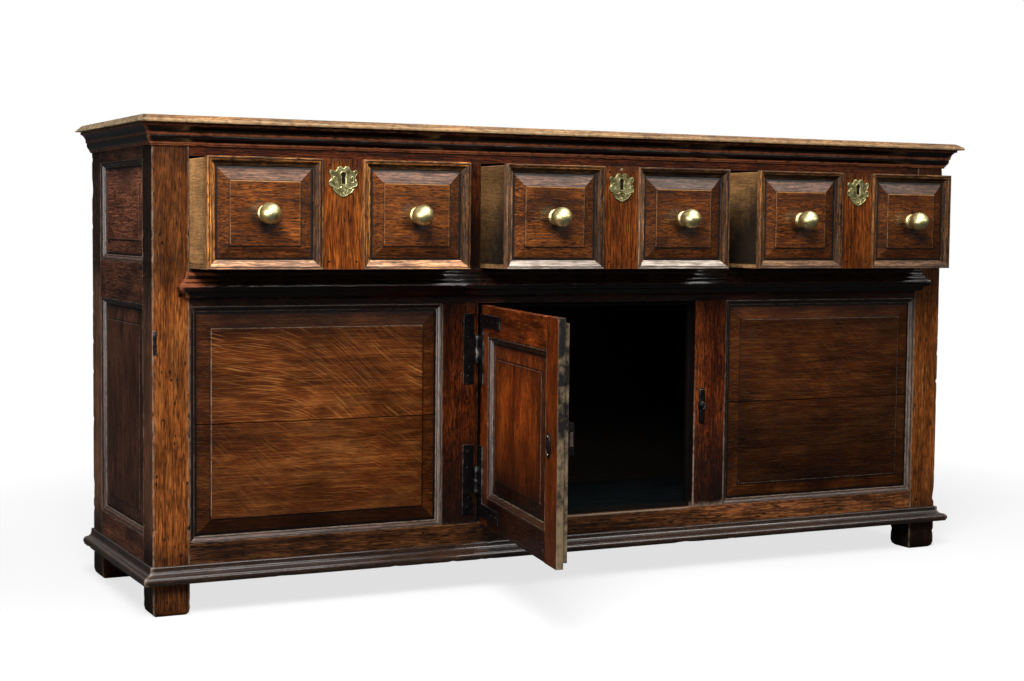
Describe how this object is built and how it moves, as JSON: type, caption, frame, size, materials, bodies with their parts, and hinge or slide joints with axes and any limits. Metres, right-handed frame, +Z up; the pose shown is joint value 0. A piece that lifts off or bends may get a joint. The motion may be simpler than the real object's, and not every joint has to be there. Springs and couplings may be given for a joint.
{
  "type": "kitchen dresser base",
  "caption": "Long antique oak dresser base: panelled drawers with brass knobs over a cupboard with a hinged centre door between fixed fielded panels, on straight post feet.",
  "frame": {"origin": "on the floor, under the middle of the dresser as it stands with drawers and door open", "axes": "+Z up, +X to the right along the front as seen from the front, the front faces -Y"},
  "size_m": [1.832, 0.9467, 0.893],
  "materials": {
    "oak_frame": "old wax over dark oak",
    "oak_panel": "old wax over oak",
    "oak_moulding": "old wax, rubbed edges",
    "oak_top": "worn, rubbed edge",
    "oak_drawer": "bare, darkened",
    "drawer_linings": "bare, dirty",
    "plain_boards": "bare, dark",
    "iron": "black, worn",
    "brass": "polished, tarnished in hollows"
  },
  "bodies": {
    "carcass": {"post_front_left": "oak_frame", "post_front_right": "oak_frame", "post_back_left": "oak_frame", "post_back_right": "oak_frame", "front_top_rail": "oak_frame", "front_mid_rail": "oak_frame", "front_bottom_rail": "oak_frame", "drawer_dividers": "oak_frame", "front_muntins": "oak_frame", "side_rails": "oak_frame", "side_panels": "oak_panel", "front_panels": "oak_panel", "joint_pegs": "oak_panel", "panel_mouldings": "oak_moulding", "cornice": "oak_moulding", "mid_moulding": "oak_moulding", "base_moulding": "oak_moulding", "back_rails": "plain_boards", "back_boards": "plain_boards", "floor_boards": "plain_boards", "inner_battens": "plain_boards", "hinge_frame_leaves": "iron", "hinge_pins": "iron", "button_screw": "iron", "top_boards": "oak_top"},
    "drawer_left": {"drawer_left_front": "oak_drawer", "drawer_left_panels": "oak_panel", "drawer_left_mouldings": "oak_moulding", "drawer_left_box": "drawer_linings", "drawer_left_bottom": "drawer_linings", "drawer_left_knobs": "brass", "drawer_left_escutcheon": "brass", "drawer_left_lock": "iron"},
    "drawer_left_lock_bolt": {"drawer_left_bolt": "iron"},
    "drawer_centre": {"drawer_centre_front": "oak_drawer", "drawer_centre_panels": "oak_panel", "drawer_centre_mouldings": "oak_moulding", "drawer_centre_box": "drawer_linings", "drawer_centre_bottom": "drawer_linings", "drawer_centre_knobs": "brass", "drawer_centre_escutcheon": "brass", "drawer_centre_lock": "iron"},
    "drawer_centre_lock_bolt": {"drawer_centre_bolt": "iron"},
    "drawer_right": {"drawer_right_front": "oak_drawer", "drawer_right_panels": "oak_panel", "drawer_right_mouldings": "oak_moulding", "drawer_right_box": "drawer_linings", "drawer_right_bottom": "drawer_linings", "drawer_right_knobs": "brass", "drawer_right_escutcheon": "brass", "drawer_right_lock": "iron"},
    "drawer_right_lock_bolt": {"drawer_right_bolt": "iron"},
    "door": {"door_frame": "oak_frame", "door_panel": "oak_panel", "door_mouldings": "oak_moulding", "door_hinge_leaves": "iron", "door_lock": "iron", "door_key_plate": "iron"},
    "door_lock_bolt": {"door_bolt": "iron"},
    "turn_button": {"turn_button": "iron"}
  },
  "joints": [
    {"name": "drawer_left_slide", "type": "slide", "parent": "carcass", "child": "drawer_left", "axis": [0, -1, 0], "range_m": [-0.103, 0.195]},
    {"name": "drawer_left_bolt_slide", "type": "slide", "parent": "drawer_left", "child": "drawer_left_lock_bolt", "axis": [0, 0, 1], "range_m": [0, 0.009]},
    {"name": "drawer_centre_slide", "type": "slide", "parent": "carcass", "child": "drawer_centre", "axis": [0, -1, 0], "range_m": [-0.108, 0.195]},
    {"name": "drawer_centre_bolt_slide", "type": "slide", "parent": "drawer_centre", "child": "drawer_centre_lock_bolt", "axis": [0, 0, 1], "range_m": [0, 0.009]},
    {"name": "drawer_right_slide", "type": "slide", "parent": "carcass", "child": "drawer_right", "axis": [0, -1, 0], "range_m": [-0.11, 0.195]},
    {"name": "drawer_right_bolt_slide", "type": "slide", "parent": "drawer_right", "child": "drawer_right_lock_bolt", "axis": [0, 0, 1], "range_m": [0, 0.009]},
    {"name": "door_hinge", "type": "hinge", "parent": "carcass", "child": "door", "pos_m": [-0.249, 0.017, 0.34], "axis": [0, 0, -1], "range_deg": [-100.4, 64.6]},
    {"name": "door_bolt_slide", "type": "slide", "parent": "door", "child": "door_lock_bolt", "axis": [-0.1805, -0.9836, 0], "range_m": [0, 0.02]},
    {"name": "turn_button_turn", "type": "hinge", "parent": "carcass", "child": "turn_button", "pos_m": [0.266, 0.02, 0.339], "axis": [0, -1, 0], "range_deg": [-90, 90]}
  ]
}
